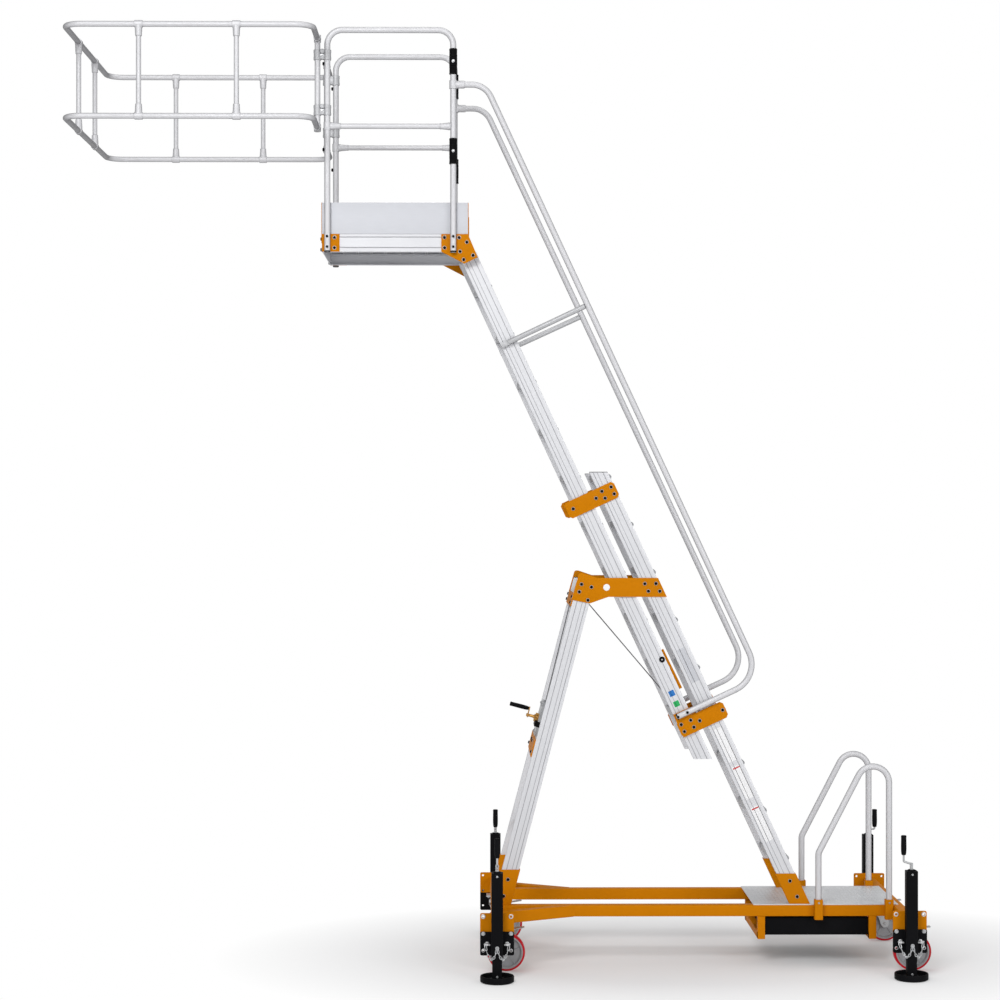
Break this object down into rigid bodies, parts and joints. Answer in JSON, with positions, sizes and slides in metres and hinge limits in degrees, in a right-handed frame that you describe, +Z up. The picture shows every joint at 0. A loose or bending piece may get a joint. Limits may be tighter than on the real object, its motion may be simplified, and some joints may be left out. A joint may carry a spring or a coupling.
{
  "type": "mobile work platform",
  "caption": "Wheeled extendable ladder platform with guard rails and a forward cage, on a jacked steel base with castors and a rear strut with winch.",
  "frame": {"origin": "on the floor under the middle of the whole machine's length and width", "axes": "+X towards the entry steps, +Z up, Y across the machine"},
  "size_m": [4.5606, 1.58, 5.008],
  "materials": {
    "orange_paint": "satin orange powder coat on steel",
    "black_paint": "satin black coat on steel",
    "bare_aluminium": "pale satin extruded aluminium",
    "pale_sheet": "smooth pale sheet",
    "chequer_plate": "raised bar tread plate",
    "black_plastic": "matt black moulding",
    "zinc_steel": "zinc plated steel",
    "wire_steel": "stranded steel wire",
    "wheel_polymer": "red tread on a pale grey moulded wheel"
  },
  "bodies": {
    "base": {"cross_beams": "orange_paint", "base_rails": "orange_paint", "front_braces": "orange_paint", "jack_plates": "orange_paint", "jack_sleeves": "black_paint", "cranks": "zinc_steel", "crank_grips": "black_plastic", "castor_plates": "zinc_steel", "step_deck": "chequer_plate", "ballast_hangers": "orange_paint", "ballast_box": "black_paint", "entry_handrails": "bare_aluminium", "handrail_sockets": "orange_paint", "fixed_stiles": "bare_aluminium", "fixed_treads": "bare_aluminium", "ladder_foot_brackets": "orange_paint", "strut_stiles": "bare_aluminium", "strut_foot_brackets": "orange_paint", "strut_cross_tubes": "bare_aluminium", "head_brackets": "orange_paint", "head_plugs": "pale_sheet", "guide_brackets": "orange_paint", "winch": "zinc_steel", "head_pulley": "zinc_steel", "hoist_wire": "wire_steel"},
    "mast": {"mast_stiles": "bare_aluminium", "mast_treads": "bare_aluminium", "mast_head_blocks": "bare_aluminium", "carriage_brackets": "orange_paint", "hoist_lug": "zinc_steel", "deck_frame": "bare_aluminium", "deck_boards": "bare_aluminium", "deck_corner_brackets": "orange_paint", "deck_gussets": "orange_paint", "side_toe_boards": "pale_sheet", "end_toe_plates": "orange_paint", "guard_rails": "bare_aluminium", "mid_rails": "bare_aluminium", "gate_hinges": "black_plastic", "cage_rails": "bare_aluminium", "cage_posts": "bare_aluminium", "cage_couplers": "bare_aluminium", "stair_handrails": "bare_aluminium", "handrail_arms": "bare_aluminium"},
    "gate_left": {"gate_leaf_left": "bare_aluminium"},
    "gate_right": {"gate_leaf_right": "bare_aluminium"},
    "castor_front_left": {"castor_fork_front_left": "zinc_steel"},
    "wheel_front_left": {"wheel_front_left": "wheel_polymer"},
    "jack_front_left": {"jack_leg_front_left": "black_paint"},
    "castor_front_right": {"castor_fork_front_right": "zinc_steel"},
    "wheel_front_right": {"wheel_front_right": "wheel_polymer"},
    "jack_front_right": {"jack_leg_front_right": "black_paint"},
    "castor_rear_left": {"castor_fork_rear_left": "zinc_steel"},
    "wheel_rear_left": {"wheel_rear_left": "wheel_polymer"},
    "jack_rear_left": {"jack_leg_rear_left": "black_paint"},
    "castor_rear_right": {"castor_fork_rear_right": "zinc_steel"},
    "wheel_rear_right": {"wheel_rear_right": "wheel_polymer"},
    "jack_rear_right": {"jack_leg_rear_right": "black_paint"}
  },
  "joints": [
    {"name": "mast_slide", "type": "slide", "parent": "base", "child": "mast", "axis": [-0.4226, 0, 0.9063], "range_m": [-0.8, 0.55]},
    {"name": "gate_left_swing", "type": "hinge", "parent": "mast", "child": "gate_left", "pos_m": [-0.25276, -0.35, 4.347], "axis": [0, 0, 1], "range_deg": [0, 80], "stiffness_Nm_per_rad": 1.5},
    {"name": "gate_right_swing", "type": "hinge", "parent": "mast", "child": "gate_right", "pos_m": [-0.25276, 0.35, 4.347], "axis": [0, 0, -1], "range_deg": [0, 80], "stiffness_Nm_per_rad": 1.5},
    {"name": "castor_front_left_swivel", "type": "hinge", "parent": "base", "child": "castor_front_left", "pos_m": [-0.02174, -0.41, 0.238], "axis": [0, 0, 1], "continuous": true},
    {"name": "wheel_front_left_spin", "type": "hinge", "parent": "castor_front_left", "child": "wheel_front_left", "pos_m": [0.02826, -0.41, 0.1], "axis": [0, 1, 0], "continuous": true},
    {"name": "castor_front_right_swivel", "type": "hinge", "parent": "base", "child": "castor_front_right", "pos_m": [-0.02174, 0.41, 0.238], "axis": [0, 0, 1], "continuous": true},
    {"name": "wheel_front_right_spin", "type": "hinge", "parent": "castor_front_right", "child": "wheel_front_right", "pos_m": [0.02826, 0.41, 0.1], "axis": [0, 1, 0], "continuous": true},
    {"name": "castor_rear_left_swivel", "type": "hinge", "parent": "base", "child": "castor_rear_left", "pos_m": [2.13026, -0.41, 0.238], "axis": [0, 0, 1], "continuous": true},
    {"name": "wheel_rear_left_spin", "type": "hinge", "parent": "castor_rear_left", "child": "wheel_rear_left", "pos_m": [2.18026, -0.41, 0.1], "axis": [0, 1, 0], "continuous": true},
    {"name": "castor_rear_right_swivel", "type": "hinge", "parent": "base", "child": "castor_rear_right", "pos_m": [2.13026, 0.41, 0.238], "axis": [0, 0, 1], "continuous": true},
    {"name": "wheel_rear_right_spin", "type": "hinge", "parent": "castor_rear_right", "child": "wheel_rear_right", "pos_m": [2.18026, 0.41, 0.1], "axis": [0, 1, 0], "continuous": true},
    {"name": "jack_front_left_screw", "type": "slide", "parent": "base", "child": "jack_front_left", "axis": [0, 0, -1], "range_m": [-0.08, 0.15]},
    {"name": "jack_front_right_screw", "type": "slide", "parent": "base", "child": "jack_front_right", "axis": [0, 0, -1], "range_m": [-0.08, 0.15]},
    {"name": "jack_rear_left_screw", "type": "slide", "parent": "base", "child": "jack_rear_left", "axis": [0, 0, -1], "range_m": [-0.08, 0.15]},
    {"name": "jack_rear_right_screw", "type": "slide", "parent": "base", "child": "jack_rear_right", "axis": [0, 0, -1], "range_m": [-0.08, 0.15]}
  ]
}
